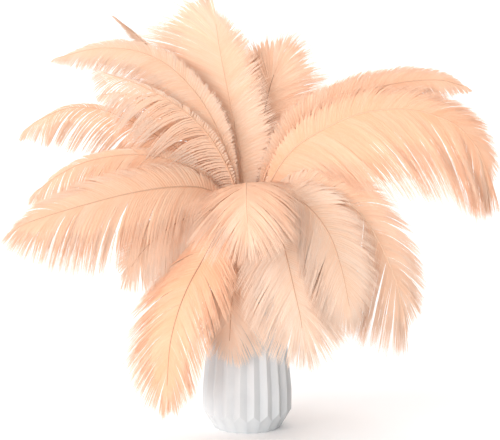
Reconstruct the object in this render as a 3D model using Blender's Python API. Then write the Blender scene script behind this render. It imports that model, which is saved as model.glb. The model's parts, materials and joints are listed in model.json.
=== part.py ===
"""A bunch of peach ostrich feathers standing in a white pleated vase.

Metres, +Z up.  The origin is the middle of the vase's foot, on the surface it stands on.
The bunch is seen from -Y.  Points and lengths below are written in millimetres.

Every feather is one closed solid: a round quill that stands just clear of the vase's floor,
and a thin vane on each side of the rachis, the part of the quill beyond the mouth.  A vane's
edge is cut into locks, as its barbs cling together.  The feathers are laid out by hand, front
ones first.  Barbs that would meet the vase, another feather's quill or rachis, or the vanes
of a feather before them in the list are lifted off their vane's plane, or shortened.
"""

import math
from collections import namedtuple

import bpy
from mathutils import Matrix, Vector
from mathutils.bvhtree import BVHTree

for old in list(bpy.data.objects):
    bpy.data.objects.remove(old, do_unlink=True)

MM = 0.001

# ---------------------------------------------------------------------------------------
# Driving dimensions, in millimetres and degrees
# ---------------------------------------------------------------------------------------

PLEATS = 20                 # ridges round the vase
VASE_HEIGHT = 205.0
VASE_WALL = 4.4             # from the valleys to the inside
VASE_FLOOR = 7.0            # height of the inside floor
FOOT_RADIUS = 34.0          # to the corners of the foot, which lie under the valleys
VALLEY_START = 13.0         # height where the valleys leave the faceted foot
RIDGE_START = 20.0          # height where the ridges come to their lower points
# height, radius of the ridges, radius of the valleys, up the outside above the foot
VASE_PROFILE = (
    (40.0, 45.6, 42.0),
    (66.0, 43.2, 39.6),
    (95.0, 40.0, 36.4),
    (125.0, 36.4, 32.9),
    (155.0, 32.6, 29.4),
    (182.0, 29.6, 27.0),
    (VASE_HEIGHT, 28.4, 26.4),
)

QUILL_RADIUS = 1.5          # at the foot of the quill
RACHIS_RADIUS = 1.2         # where the vanes begin
TIP_RADIUS = 0.45
QUILL_GAP = 0.3             # under the quill's foot
INNER_RING = 11.0           # radius of the ring in which the upright quills stand
OUTER_RING = 18.0           # and of the one with the quills that bend over the rim
MOUTH_EXIT = 196.0          # the quills are straight and upright up to here

QUILL_STATIONS = 5          # rings of vertices on the bare quill
VANE_STATIONS = 18          # and along the vanes
VANE_START = 0.10           # where the vanes begin, as a share of the way from mouth to tip
BASE_BARB = 0.07            # length of the first barbs, as a share of the longest
FULL_AT = 0.38              # share of the vane where its barbs are longest
MID_HALF_THICKNESS = 0.35   # half the vane's thickness, halfway along its barbs
WIDE_UNTIL = 0.60           # share of the vane where they begin to shorten
LOCK_DEPTH = 0.16           # how much shorter every second lock is
BASE_ANGLE = 64.0           # between barb and rachis, where the vanes begin
HEAD_ANGLE = 36.0           # near the tip
TIP_ANGLE = 7.0             # at the very tip
HEAD_START = 0.90           # share of the vane where the tip's fan begins
SWEEP = 0.45                # how far a barb bends towards the tip, as a share of its length
DROOP = 0.60                # how far it hangs, in the same measure
CLEARANCE = 0.35            # kept between the vanes of neighbouring feathers

BEND_LEAD = 4.0             # the last upright station, below the height MOUTH_EXIT
SMOOTH_OVER = 3.0           # directions along the rachis are taken over this far each way
LIFT_STEP = math.radians(3)
LIFT_MOST = math.radians(42)
SHORTEN_STEP = 0.95
SHORTEST = 0.05             # barbs aren't shortened past this share of their length
ROUNDS = 80                 # of lifting and shortening, at most

# A feather leaves the mouth from its slot (ring radius and direction, 0 = +X, 90 = +Y) and
# follows its route.  turn is how far its face is turned about the rachis, at the base and at
# the tip; the face of an unturned feather is the upper side of its arch.  left and right are
# the lengths of the longest barbs, as seen on the face with the tip up, and tip is the
# length of the last ones as a share of them.
Feather = namedtuple("Feather", "name ring direction route turn left right tip")

FEATHERS = (
    Feather("feather_front_centre", OUTER_RING, 274,
            ((1, -24, 231), (-1, -44, 251), (-1, -72, 257), (-1, -97, 246),
             (0, -112, 229), (0, -118, 218)),
            (0, 0), 66, 66, 0.28),
    Feather("feather_front_left", OUTER_RING, 243,
            ((-11, -27, 222), (-22, -44, 218), (-39, -62, 188), (-55, -77, 161),
             (-66, -86, 135), (-74, -91, 103), (-77, -95, 64)),
            (-5, 0), 52, 60, 0.35),
    Feather("feather_front_right", OUTER_RING, 291,
            ((11, -26, 222), (23, -45, 224), (32, -62, 207), (40, -74, 179),
             (46, -82, 153), (51, -86, 132), (53, -88, 119)),
            (5, 0), 66, 60, 0.48),
    Feather("feather_front_low", OUTER_RING, 258,
            ((-4, -23, 213), (-8, -36, 205), (-11, -46, 180), (-14, -52, 146),
             (-16, -56, 120), (-17, -58, 100)),
            (0, 0), 48, 42, 0.35),
    Feather("feather_front_side", OUTER_RING, 311,
            ((17, -22, 227), (36, -36, 240), (59, -50, 232), (80, -62, 206),
             (92, -70, 172), (99, -75, 138)),
            (45, 15), 46, 52, 0.40),
    Feather("feather_right_low", OUTER_RING, 332,
            ((21, -12, 231), (50, -20, 248), (86, -26, 242), (114, -31, 219),
             (135, -36, 185), (148, -40, 152), (152, -42, 136)),
            (84, 50), 50, 78, 0.43),
    Feather("feather_right_arch", INNER_RING, 350,
            ((21, -4, 244), (43, -7, 280), (72, -10, 301), (112, -13, 319), (159, -16, 323),
             (201, -19, 311), (225, -22, 288), (235, -25, 266)),
            (80, 60), 46, 92, 0.35),
    Feather("feather_left_arch", OUTER_RING, 187,
            ((-23, -5, 237), (-43, -9, 267), (-70, -13, 285), (-105, -17, 307),
             (-140, -22, 323), (-173, -26, 326), (-202, -30, 315), (-214, -31, 307)),
            (-82, -40), 54, 24, 0.25),
    Feather("feather_left_crest", INNER_RING, 210,
            ((-13, -12, 247), (-29, -20, 284), (-47, -28, 310), (-73, -36, 332),
             (-105, -43, 350), (-138, -48, 362)),
            (-70, -45), 54, 28, 0.25),
    Feather("feather_left_high", INNER_RING, 180,
            ((-11, -2, 246), (-25, -5, 292), (-41, -8, 325), (-61, -11, 351),
             (-85, -13, 371), (-115, -15, 382), (-149, -17, 383), (-183, -19, 375)),
            (-85, -30), 44, 28, 0.25),
    Feather("feather_left_mid", OUTER_RING, 201,
            ((-23, -13, 233), (-42, -23, 258), (-76, -35, 276), (-113, -45, 282),
             (-152, -53, 277), (-180, -59, 265), (-200, -62, 251)),
            (-82, -50), 42, 20, 0.35),
    Feather("feather_left_broad", OUTER_RING, 228,
            ((-18, -24, 229), (-41, -42, 248), (-76, -62, 252), (-114, -78, 248),
             (-151, -90, 240), (-185, -98, 231), (-207, -102, 224)),
            (-84, -62), 62, 46, 0.42),
    Feather("feather_left_low", OUTER_RING, 214,
            ((-18, -17, 220), (-33, -27, 225), (-59, -37, 219), (-84, -44, 204),
             (-103, -48, 186), (-113, -50, 172)),
            (-75, -45), 44, 34, 0.40),
    Feather("feather_top_tall", INNER_RING, 106,
            ((-4, 12, 236), (-7, 13, 269), (-12, 15, 301), (-20, 18, 342), (-27, 22, 378),
             (-31, 25, 405)),
            (-30, -16), 118, 52, 0.26),
    Feather("feather_top_right", INNER_RING, 50,
            ((10, 16, 244), (14, 23, 285), (18, 29, 318), (23, 35, 341), (27, 39, 353)),
            (45, 38), 56, 84, 0.60),
    Feather("feather_top_edge", OUTER_RING, 128,
            ((-18, 22, 240), (-38, 35, 293), (-65, 49, 336), (-93, 60, 372),
             (-118, 67, 396), (-134, 71, 409)),
            (30, 30), 26, 34, 0.25),
    Feather("feather_left_rear", OUTER_RING, 164,
            ((-21, 4, 241), (-43, 3, 279), (-69, 4, 309), (-101, 8, 329),
             (-127, 13, 337), (-145, 17, 335)),
            (-84, -50), 46, 24, 0.30),
    Feather("feather_right_rear", INNER_RING, 22,
            ((15, 4, 245), (31, 5, 281), (59, 8, 313), (103, 13, 335), (153, 19, 347),
             (193, 25, 349), (216, 29, 343)),
            (88, 60), 32, 34, 0.30),
    Feather("feather_back_top", INNER_RING, 78,
            ((2, 22, 250), (5, 36, 286), (8, 56, 324), (10, 76, 348), (10, 96, 360)),
            (0, 0), 58, 58, 0.40),
    Feather("feather_back_left", OUTER_RING, 147,
            ((-25, 16, 235), (-46, 38, 265), (-76, 64, 281), (-107, 91, 275),
             (-132, 112, 249), (-144, 122, 221)),
            (0, 0), 60, 60, 0.40),
    Feather("feather_back_right", OUTER_RING, 44,
            ((20, 20, 238), (38, 44, 268), (60, 74, 284), (82, 104, 276), (98, 126, 250),
             (106, 138, 222)),
            (0, 0), 56, 56, 0.40),
    Feather("feather_back_low_left", OUTER_RING, 114,
            ((-12, 26, 222), (-26, 48, 228), (-44, 74, 210), (-58, 94, 176), (-67, 104, 140),
             (-71, 109, 112)),
            (0, 0), 54, 54, 0.40),
    Feather("feather_back_low_right", OUTER_RING, 66,
            ((12, 26, 222), (26, 48, 228), (42, 76, 212), (54, 98, 180), (62, 110, 144),
             (66, 116, 114)),
            (0, 0), 54, 54, 0.40),
    Feather("feather_back_middle", OUTER_RING, 90,
            ((0, 26, 236), (2, 50, 262), (2, 84, 276), (0, 118, 266), (-2, 144, 238),
             (-3, 154, 210)),
            (0, 0), 58, 58, 0.40),
)

# ---------------------------------------------------------------------------------------
# Finishes
# ---------------------------------------------------------------------------------------

CERAMIC_WHITE = (0.86, 0.86, 0.85)
FEATHER_PEACH = (0.93, 0.58, 0.40)


def finish(name, colour, roughness):
    """A Principled material in one colour."""
    material = bpy.data.materials.new(name)
    material.use_nodes = True
    shader = material.node_tree.nodes["Principled BSDF"]
    shader.inputs["Base Color"].default_value = (*colour, 1.0)
    shader.inputs["Roughness"].default_value = roughness
    shader.inputs["Metallic"].default_value = 0.0
    return material


def add_object(name, points, faces, material):
    """One closed mesh object from points in millimetres and faces that turn outwards."""
    mesh = bpy.data.meshes.new(name)
    mesh.from_pydata([tuple(point * MM) for point in points], [], faces)
    mesh.materials.append(material)
    thing = bpy.data.objects.new(name, mesh)
    bpy.context.scene.collection.objects.link(thing)
    return thing


# ---------------------------------------------------------------------------------------
# Vase
# ---------------------------------------------------------------------------------------


def pleated_ring(height, ridge, valley):
    """Valleys and ridges in turn round the axis; the first is a valley."""
    ring = []
    for corner in range(2 * PLEATS):
        angle = math.pi * (corner / PLEATS + 1.5)
        radius = ridge if corner % 2 else valley
        ring.append(Vector((radius * math.cos(angle), radius * math.sin(angle), height)))
    return ring


def foot_ring(ridge_height, valley_height):
    """A ring on the foot's flat facets, whose corners lie under the valleys."""
    half_pitch = math.cos(math.pi / PLEATS)
    start = VASE_PROFILE[0][1] / half_pitch
    slope = (start - FOOT_RADIUS) / RIDGE_START
    ridge = (FOOT_RADIUS + slope * ridge_height) * half_pitch
    valley = FOOT_RADIUS + slope * valley_height
    ring = pleated_ring(0.0, ridge, valley)
    for corner, point in enumerate(ring):
        point.z = ridge_height if corner % 2 else valley_height
    return ring


def build_vase():
    """The pleated outside, the flat rim and the round inside, as one closed shell."""
    rings = [foot_ring(0.0, 0.0), foot_ring(RIDGE_START, VALLEY_START)]
    rings += [pleated_ring(*row) for row in VASE_PROFILE]
    for height, _, valley in VASE_PROFILE[::-2]:
        inside = valley - VASE_WALL
        rings.append(pleated_ring(height, inside, inside))
    floor_radius = FOOT_RADIUS - VASE_WALL
    rings.append(pleated_ring(VASE_FLOOR, floor_radius, floor_radius))

    around = 2 * PLEATS
    points = [point for ring in rings for point in ring]
    faces = []
    for row in range(len(rings) - 1):
        for corner in range(around):
            after = (corner + 1) % around
            faces.append((row * around + corner, row * around + after,
                          (row + 1) * around + after, (row + 1) * around + corner))
    last = (len(rings) - 1) * around
    faces.append(tuple(reversed(range(around))))
    faces.append(tuple(range(last, last + around)))
    return add_object("vase", points, faces, finish("ceramic_white", CERAMIC_WHITE, 0.35))


# ---------------------------------------------------------------------------------------
# Feathers
# ---------------------------------------------------------------------------------------


def smooth_route(points, steps=12):
    """Points along a Catmull-Rom curve through the given ones."""
    ends = [points[0] * 2 - points[1], *points, points[-1] * 2 - points[-2]]
    curve = []
    for a, b, c, d in zip(ends, ends[1:], ends[2:], ends[3:]):
        for step in range(steps):
            t = step / steps
            curve.append(0.5 * (2 * b + (c - a) * t + (2 * a - 5 * b + 4 * c - d) * t ** 2
                                + (3 * b - a - 3 * c + d) * t ** 3))
    curve.append(points[-1])
    return curve


def lengths_along(curve):
    """The distance of each point of a curve from its start."""
    total = [0.0]
    for here, there in zip(curve, curve[1:]):
        total.append(total[-1] + (there - here).length)
    return total


def point_at(curve, along, distance):
    """The point at a distance from a curve's start, in a straight line past its ends."""
    index = 1
    while index < len(curve) - 1 and along[index] < distance:
        index += 1
    share = (distance - along[index - 1]) / (along[index] - along[index - 1])
    return curve[index - 1].lerp(curve[index], share)


def smoothstep(share):
    """Rises from 0 to 1, level at both ends."""
    share = min(1.0, max(0.0, share))
    return share * share * (3.0 - 2.0 * share)


def mix(first, last, share):
    return first + (last - first) * share


def barb_angle(share):
    """The angle between barb and rachis, in radians, at a share of the vane's length."""
    if share < HEAD_START:
        return math.radians(mix(BASE_ANGLE, HEAD_ANGLE, share / HEAD_START))
    fan = (share - HEAD_START) / (1.0 - HEAD_START)
    return math.radians(mix(HEAD_ANGLE, TIP_ANGLE, fan))


def barb_length(share, tip):
    """The length of a barb at a share of the vane's length, as a share of the longest."""
    base = mix(BASE_BARB, 1.0, smoothstep(share / FULL_AT))
    head = mix(1.0, tip, smoothstep((share - WIDE_UNTIL) / (1.0 - WIDE_UNTIL)))
    return base * head


# A ring of the solid: its place, the directions along, out of the face and to the left, the
# share of the vane's length (None on the bare quill), and the radius of quill or rachis.
Station = namedtuple("Station", "place along face left share radius")


def stations_of(feather):
    """The stations of a feather from the foot of its quill to its tip."""
    direction = math.radians(feather.direction)
    slot = Vector((math.cos(direction), math.sin(direction), 0.0)) * feather.ring
    foot = slot + Vector((0, 0, VASE_FLOOR + QUILL_GAP))
    leaving = slot + Vector((0, 0, MOUTH_EXIT))
    way_out = [Vector(point) for point in feather.route]
    curve = smooth_route([foot, foot.lerp(leaving, 0.5), leaving, *way_out])
    along = lengths_along(curve)
    exit_at = MOUTH_EXIT - foot.z
    vane_at = mix(exit_at, along[-1], VANE_START)

    places = [(0.0, None), (0.5 * exit_at, None), (exit_at - BEND_LEAD, None)]
    bends = QUILL_STATIONS - len(places)
    places += [(mix(exit_at, vane_at, (step + 0.5) / bends), None) for step in range(bends)]
    for step in range(VANE_STATIONS):
        share = step / (VANE_STATIONS - 1)
        places.append((mix(vane_at, along[-1], share), share))

    stations = []
    heading = Vector((0, 0, 1))
    face = -slot.normalized()
    for distance, share in places:
        ahead = (point_at(curve, along, distance + SMOOTH_OVER)
                 - point_at(curve, along, distance - SMOOTH_OVER)).normalized()
        face = heading.rotation_difference(ahead) @ face
        face = (face - ahead * face.dot(ahead)).normalized()
        heading = ahead
        turn = math.radians(mix(*feather.turn, share or 0.0))
        turned = Matrix.Rotation(turn, 3, ahead) @ face
        if share is None:
            radius = mix(QUILL_RADIUS, RACHIS_RADIUS, distance / vane_at)
        else:
            radius = mix(RACHIS_RADIUS, TIP_RADIUS, share)
        place = point_at(curve, along, distance)
        stations.append(Station(place, ahead, turned, turned.cross(ahead), share, radius))
    return stations


class Barb:
    """How the barbs on one side of a station give way: shorter, or lifted off the plane."""

    def __init__(self, kept=1.0):
        self.kept = kept
        self.lift = 0.0


LEFT = 1
RIGHT = -1


def barb_point(station, side, barb, length, share_out):
    """A point on the barb that leaves a station to one side, with the length in millimetres."""
    angle = barb_angle(station.share)
    out = station.left * (side * math.cos(barb.lift)) + station.face * math.sin(barb.lift)
    start = station.along * math.cos(angle) + out * math.sin(angle)
    bend = 0.5 * SWEEP * station.along - Vector((0, 0, 0.5 * DROOP))
    return station.place + length * (start * share_out + bend * share_out ** 2)


def quill_ring(station, swell):
    """Eight points round the bare quill, in the order of those of a vane's ring."""
    face = station.face * (station.radius + swell)
    left = station.left * (station.radius + swell)
    slant = math.sqrt(0.5)
    around = (face, (face + left) * slant, left, (left - face) * slant,
              -face, (-face - left) * slant, -left, (face - left) * slant)
    return [station.place + offset for offset in around]


def vane_ring(feather, index, station, barbs, swell):
    """Eight points: the rachis, halfway out and the edge, on the face and on the back."""
    lock = 1.0 - LOCK_DEPTH * is_short(index)
    reach = barb_length(station.share, feather.tip) * lock
    tops = {}
    edges = {}
    backs = {}
    for side, longest in ((LEFT, feather.left), (RIGHT, feather.right)):
        barb = barbs[side]
        length = longest * reach * barb.kept
        upright = station.face * math.cos(barb.lift) - station.left * side * math.sin(barb.lift)
        half = upright * (MID_HALF_THICKNESS + swell)
        middle = barb_point(station, side, barb, length, 0.5)
        tops[side] = middle + half
        edges[side] = barb_point(station, side, barb, length, 1.0)
        backs[side] = middle - half
    face = station.face * (station.radius + swell)
    return [station.place + face, tops[LEFT], edges[LEFT], backs[LEFT],
            station.place - face, backs[RIGHT], edges[RIGHT], tops[RIGHT]]


AROUND = 8                  # points in a ring
LEFT_EDGE = 2               # the place of the edge points among them
RIGHT_EDGE = 6


def feather_rings(feather, stations, barbs, swell=0.0):
    """The ring of points round each station, made thicker by swell."""
    rings = []
    for index, station in enumerate(stations):
        if station.share is None:
            rings.append(quill_ring(station, swell))
        else:
            rings.append(vane_ring(feather, index, station, barbs[index], swell))
    return rings


def is_short(index):
    """Whether a station is a gap between two locks, where the barbs are shorter."""
    return index % 2 == 1


def feather_faces(ring_count):
    """Two triangles between each two neighbours of two rings, and the closed ends.

    A short lock's edge may lie behind the tips of the long ones beside it, so the triangles
    part along a line from the short lock's outer point to the long one's inner point.
    """
    faces = []
    for row in range(ring_count - 1):
        for corner in range(AROUND):
            after = (corner + 1) % AROUND
            near, near_after = row * AROUND + corner, row * AROUND + after
            far, far_after = near + AROUND, near_after + AROUND
            goes_outwards = corner % (AROUND // 2) < AROUND // 4
            if is_short(row) == goes_outwards:
                faces += [(near_after, near, far), (near_after, far, far_after)]
            else:
                faces += [(near_after, near, far_after), (near, far, far_after)]
    last = (ring_count - 1) * AROUND
    faces.append(tuple(range(AROUND)))
    for rachis_top, top, edge, back, rachis_back in ((0, 1, 2, 3, 4), (4, 5, 6, 7, 0)):
        faces.append((last + rachis_back, last + back, last + top, last + rachis_top))
        faces.append((last + back, last + edge, last + top))
    return faces


def tree_of_rings(rings):
    """The search tree of a feather's faces."""
    return BVHTree.FromPolygons([point for ring in rings for point in ring],
                                feather_faces(len(rings)))


def tree_of_object(thing):
    """The search tree of an object's faces, in millimetres."""
    points = [vertex.co / MM for vertex in thing.data.vertices]
    return BVHTree.FromPolygons(points, [tuple(face.vertices) for face in thing.data.polygons])


# What stands in a feather's way: its search tree and points along its middle.
Obstacle = namedtuple("Obstacle", "tree middle")


def bare_obstacle(feather, stations):
    """A feather's quill and rachis, with its barbs cut to stubs."""
    stubs = [{LEFT: Barb(SHORTEST), RIGHT: Barb(SHORTEST)} for _ in stations]
    return Obstacle(tree_of_rings(feather_rings(feather, stations, stubs)),
                    [station.place for station in stations])


def row_and_side(face, ring_count):
    """Which pair of rings a face joins, and on which side of the rachis."""
    row, rest = divmod(face, 2 * AROUND)
    return min(row, ring_count - 2), LEFT if rest < AROUND else RIGHT


def pushes(stations, rings, tree, obstacles):
    """For each station and side that meets an obstacle, which way off its face to give way."""
    found = {}
    for obstacle in obstacles:
        for face, _ in tree.overlap(obstacle.tree):
            row, side = row_and_side(face, len(rings))
            edge = rings[row][LEFT_EDGE if side == LEFT else RIGHT_EDGE]
            nearest = min(obstacle.middle, key=lambda point: (point - edge).length_squared)
            in_front = (nearest - stations[row].place).dot(stations[row].face) > 0.0
            for index in (row, row + 1):
                found[index, side] = found.get((index, side), 0) + (-1 if in_front else 1)
    return found


def tangles(rings, tree):
    """The stations and sides whose barbs cross others of the same vane, inside a tight bend."""
    faces = feather_faces(len(rings))
    found = set()
    for face, other in tree.overlap(tree):
        if not set(faces[face]) & set(faces[other]):
            row, side = row_and_side(face, len(rings))
            found |= {(row, side), (row + 1, side)}
    return found


def give_way(feather, stations, obstacles):
    """Lift or shorten barbs, a little at a time, until they clear what is in their way."""
    barbs = [{LEFT: Barb(), RIGHT: Barb()} for _ in stations]
    for _ in range(ROUNDS):
        rings = feather_rings(feather, stations, barbs, swell=CLEARANCE)
        tree = tree_of_rings(rings)
        found = pushes(stations, rings, tree, obstacles)
        crossing = tangles(rings, tree)
        if not found and not crossing:
            return barbs
        for (index, side), push in found.items():
            barb = barbs[index][side]
            lift = barb.lift + (LIFT_STEP if push > 0 else -LIFT_STEP)
            if abs(lift) <= LIFT_MOST:
                barb.lift = lift
            else:
                crossing.add((index, side))
        for index, side in crossing:
            barb = barbs[index][side]
            barb.kept = max(SHORTEST, barb.kept * SHORTEN_STEP)
    raise RuntimeError(f"{feather.name} runs into a neighbour")


def build_feather(feather, stations, obstacles):
    """One feather, clear of every obstacle; gives what it is to the feathers after it."""
    barbs = give_way(feather, stations, obstacles)
    rings = feather_rings(feather, stations, barbs)
    peach = finish(f"peach_{feather.name}", FEATHER_PEACH, 0.9)
    points = [point for ring in rings for point in ring]
    add_object(feather.name, points, feather_faces(len(rings)), peach)
    return Obstacle(tree_of_rings(rings), [station.place for station in stations])


def main():
    vase = Obstacle(tree_of_object(build_vase()), [Vector((0, 0, 0.5 * VASE_HEIGHT))])
    paths = [stations_of(feather) for feather in FEATHERS]
    obstacles = [bare_obstacle(feather, path) for feather, path in zip(FEATHERS, paths)]
    obstacles.append(vase)
    for index, (feather, path) in enumerate(zip(FEATHERS, paths)):
        others = obstacles[:index] + obstacles[index + 1:]
        obstacles[index] = build_feather(feather, path, others)


main()
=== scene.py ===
# %% [markdown]
# # A bunch of ostrich feathers in a pleated vase
#
# Twenty-four peach plumes stand in a tall white vase with sharp pleats. The plumes arch
# outwards under their own weight, and the front ones hang down over the rim.
#
# The lesson first puts up the camera, the light and the floor. Then it models the vase
# with edit mode operators, and last it grows the plumes, barb by barb, on the same lines
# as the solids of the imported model.
#
# Everything is in metres, +Z is up, and the vase's foot stands on the origin.

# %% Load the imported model
import json
import math
from collections import namedtuple

import bmesh
import bpy
import numpy as np
from mathutils import Matrix, Vector

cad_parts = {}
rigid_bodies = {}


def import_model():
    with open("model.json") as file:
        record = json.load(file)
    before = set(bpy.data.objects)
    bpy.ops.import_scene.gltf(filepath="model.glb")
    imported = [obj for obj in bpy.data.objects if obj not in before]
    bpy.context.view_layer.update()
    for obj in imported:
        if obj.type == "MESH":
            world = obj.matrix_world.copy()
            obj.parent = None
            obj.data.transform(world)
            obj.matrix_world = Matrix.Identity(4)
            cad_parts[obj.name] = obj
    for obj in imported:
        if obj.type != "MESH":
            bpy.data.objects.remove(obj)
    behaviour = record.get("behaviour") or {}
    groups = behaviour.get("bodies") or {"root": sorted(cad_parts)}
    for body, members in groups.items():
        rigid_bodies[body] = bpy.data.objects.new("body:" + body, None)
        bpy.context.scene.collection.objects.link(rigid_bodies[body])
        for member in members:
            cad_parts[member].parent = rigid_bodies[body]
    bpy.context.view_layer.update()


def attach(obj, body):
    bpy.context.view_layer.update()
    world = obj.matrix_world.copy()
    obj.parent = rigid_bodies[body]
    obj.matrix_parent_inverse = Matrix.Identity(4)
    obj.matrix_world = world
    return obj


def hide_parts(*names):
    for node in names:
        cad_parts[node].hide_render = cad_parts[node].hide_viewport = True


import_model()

MM = 0.001

# %% [markdown]
# ## Camera
#
# The picture was taken from a little above, with a long lens, so the vase's sides stay
# almost parallel. A camera two metres away with a 144 mm lens gives the same calm view.
# It could be turned with a constraint. Working out its rotation from the line of sight
# is simpler, and leaves nothing behind in the file.

# %% Camera
AIM = Vector((0.003, 0.0, 0.211))
CAMERA_DISTANCE = 2.0
CAMERA_ELEVATION = math.radians(8.5)
SENSOR_WIDTH = 36.0
LENS = 144.0

line_of_sight = Vector((0.0, math.cos(CAMERA_ELEVATION), -math.sin(CAMERA_ELEVATION)))
camera_data = bpy.data.cameras.new("camera")
camera_data.sensor_width = SENSOR_WIDTH
camera_data.lens = LENS
camera = bpy.data.objects.new("camera", camera_data)
camera.location = AIM - line_of_sight * CAMERA_DISTANCE
camera.rotation_euler = line_of_sight.to_track_quat("-Z", "Y").to_euler()
bpy.context.scene.collection.objects.link(camera)
bpy.context.scene.camera = camera
print("camera at", [round(v, 3) for v in camera.location])

# %% [markdown]
# ## Light and floor
#
# A white studio is a bright surround with three large soft lamps. The surround is brighter
# on the left, as beside a window, which makes the left facet of each pleat the lighter
# one. The main lamp stands to the left, in front and above, and leaves a short soft
# shadow on the right. The filling lamp stands in front and low, for the plumes that hang
# in the shade of the bunch. The back lamp lights the back of the bunch and shines through
# the down.
#
# Area lamps would do as well. A sun with a wide angle gives the same softness at any
# distance, and needs no placing.
#
# The floor is white paper. A faint glow of its own lets it run into the surround without
# an edge.
#
# Each shader is a tree of nodes. A few helpers make them, here and for every material, so
# that a material reads as what is on its inputs.


# %% Helpers for nodes
def new_material(name):
    """A material with only a Principled shader, and its node tree."""
    material = bpy.data.materials.new(name)
    material.use_nodes = True
    return material, material.node_tree, material.node_tree.nodes["Principled BSDF"]


def fill(tree, node, inputs):
    """Give the inputs of a node their values, or links from other nodes."""
    for key, value in inputs.items():
        if isinstance(value, bpy.types.NodeSocket):
            tree.links.new(value, node.inputs[key])
        else:
            node.inputs[key].default_value = value


def add_node(tree, kind, inputs=None, **settings):
    """A node of a kind, with settings on the node and values or links on its inputs."""
    node = tree.nodes.new(kind)
    for key, value in settings.items():
        setattr(node, key, value)
    fill(tree, node, inputs or {})
    return node


def add_math(tree, operation, *values):
    """The result of a Math node."""
    return add_node(tree, "ShaderNodeMath", dict(enumerate(values)),
                    operation=operation).outputs[0]


def add_range(tree, value, low, high, to_low, to_high):
    """The result of a Map Range node."""
    inputs = {"Value": value, "From Min": low, "From Max": high,
              "To Min": to_low, "To Max": to_high}
    return add_node(tree, "ShaderNodeMapRange", inputs).outputs["Result"]


def add_ramp(tree, value, *stops):
    """The colour of a ramp with the given stops."""
    node = add_node(tree, "ShaderNodeValToRGB", {"Fac": value})
    while len(node.color_ramp.elements) < len(stops):
        node.color_ramp.elements.new(1.0)
    for element, (position, colour) in zip(node.color_ramp.elements, stops):
        element.position = position
        element.color = (*colour, 1.0)
    return node.outputs["Color"]


# %% Surround
BRIGHT_LEFT, DIM_RIGHT = 1.26, 0.14

scene = bpy.context.scene
scene.view_settings.view_transform = "Standard"
world = bpy.data.worlds.new("studio")
world.use_nodes = True
tree = world.node_tree
direction = add_node(tree, "ShaderNodeTexCoord").outputs["Generated"]
axes = add_node(tree, "ShaderNodeSeparateXYZ", {"Vector": direction}).outputs
strength = add_range(tree, axes["X"], -1.0, 1.0, BRIGHT_LEFT, DIM_RIGHT)
fill(tree, tree.nodes["Background"], {"Color": (1.0, 1.0, 1.0, 1.0), "Strength": strength})
scene.world = world
print("surround:", BRIGHT_LEFT, "on the left,", DIM_RIGHT, "on the right")


# %% Lamps
def soft_lamp(name, towards_lamp, energy, angle):
    """A sun as soft as a large lamp, shining from a direction."""
    data = bpy.data.lights.new(name, "SUN")
    data.energy = energy
    data.angle = math.radians(angle)
    lamp = bpy.data.objects.new(name, data)
    lamp.rotation_euler = (-Vector(towards_lamp)).to_track_quat("-Z", "Y").to_euler()
    scene.collection.objects.link(lamp)
    print(name, "shines with", energy)


soft_lamp("main_lamp", (-0.75, -0.65, 0.42), 1.15, 26.0)
soft_lamp("filling_lamp", (-0.32, -1.0, 0.12), 1.85, 25.0)
soft_lamp("back_lamp", (-0.10, 0.9, 0.65), 1.6, 60.0)

# %% Floor
FLOOR_SIZE = 40.0
PAPER_WHITE = 0.93
PAPER_GLOW = 0.09

bpy.ops.object.select_all(action="DESELECT")
bpy.ops.mesh.primitive_plane_add(size=FLOOR_SIZE, location=(0.0, 0.0, 0.0))
floor = bpy.context.object
floor.name = "floor"
paper, tree, shader = new_material("studio_paper")
fill(tree, shader, {"Base Color": (PAPER_WHITE, PAPER_WHITE, PAPER_WHITE, 1.0),
                    "Roughness": 0.9, "Specular IOR Level": 0.1,
                    "Emission Color": (1.0, 1.0, 1.0, 1.0),
                    "Emission Strength": PAPER_GLOW})
floor.data.materials.append(paper)
print("floor:", FLOOR_SIZE, "m wide")

# %% [markdown]
# ## The vase
#
# The vase is slip-cast white ceramic: twenty pleats run from a foot of flat facets up to
# the mouth, and the body narrows all the way. Each facet of the foot ends in a low gable,
# from which a ridge rises.
#
# It could be a lathe profile with a displacement. Here one ring of forty points, by turns
# a valley and a ridge, is extruded upwards, and the valleys and the ridges are scaled
# apart, so that each fold is a true edge.

# %% Sizes of the vase
PLEATS = 20
VASE_HEIGHT = 205.0
VASE_WALL = 4.4
VASE_FLOOR = 7.0
FOOT_RADIUS = 34.0
FOOT_FOLD = 1.1             # how far a facet of the foot is folded in along its middle
VALLEY_START = 13.0         # height of the facets of the foot, at the valleys
RIDGE_START = 20.0          # height of the gables, where the ridges begin
# height, radius of the ridges, radius of the valleys
VASE_PROFILE = np.array((
    (40.0, 45.6, 42.0),
    (66.0, 43.2, 39.6),
    (95.0, 40.0, 36.4),
    (125.0, 36.4, 32.9),
    (155.0, 32.6, 29.4),
    (182.0, 29.6, 27.0),
    (VASE_HEIGHT, 28.4, 26.4),
))
print("vase:", VASE_HEIGHT, "mm tall,", 2 * VASE_PROFILE[:, 1].max(), "mm across")

# %% A smooth line up the body
BODY_STEPS = 4              # rings from one row of the profile to the next


def smooth_line(points, steps):
    """Points along a Catmull-Rom curve through the given ones."""
    points = np.asarray(points, float)
    ends = np.vstack((2 * points[0] - points[1], points, 2 * points[-1] - points[-2]))
    a, b, c, d = (ends[k:len(ends) - 3 + k, None, :] for k in range(4))
    t = np.arange(steps)[None, :, None] / steps
    curve = 0.5 * (2 * b + (c - a) * t + (2 * a - 5 * b + 4 * c - d) * t ** 2
                   + (3 * b - a - 3 * c + d) * t ** 3)
    return np.vstack((curve.reshape(-1, points.shape[1]), points[-1]))


body_rows = smooth_line(VASE_PROFILE, BODY_STEPS)
print("rings up the body:", len(body_rows))

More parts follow.
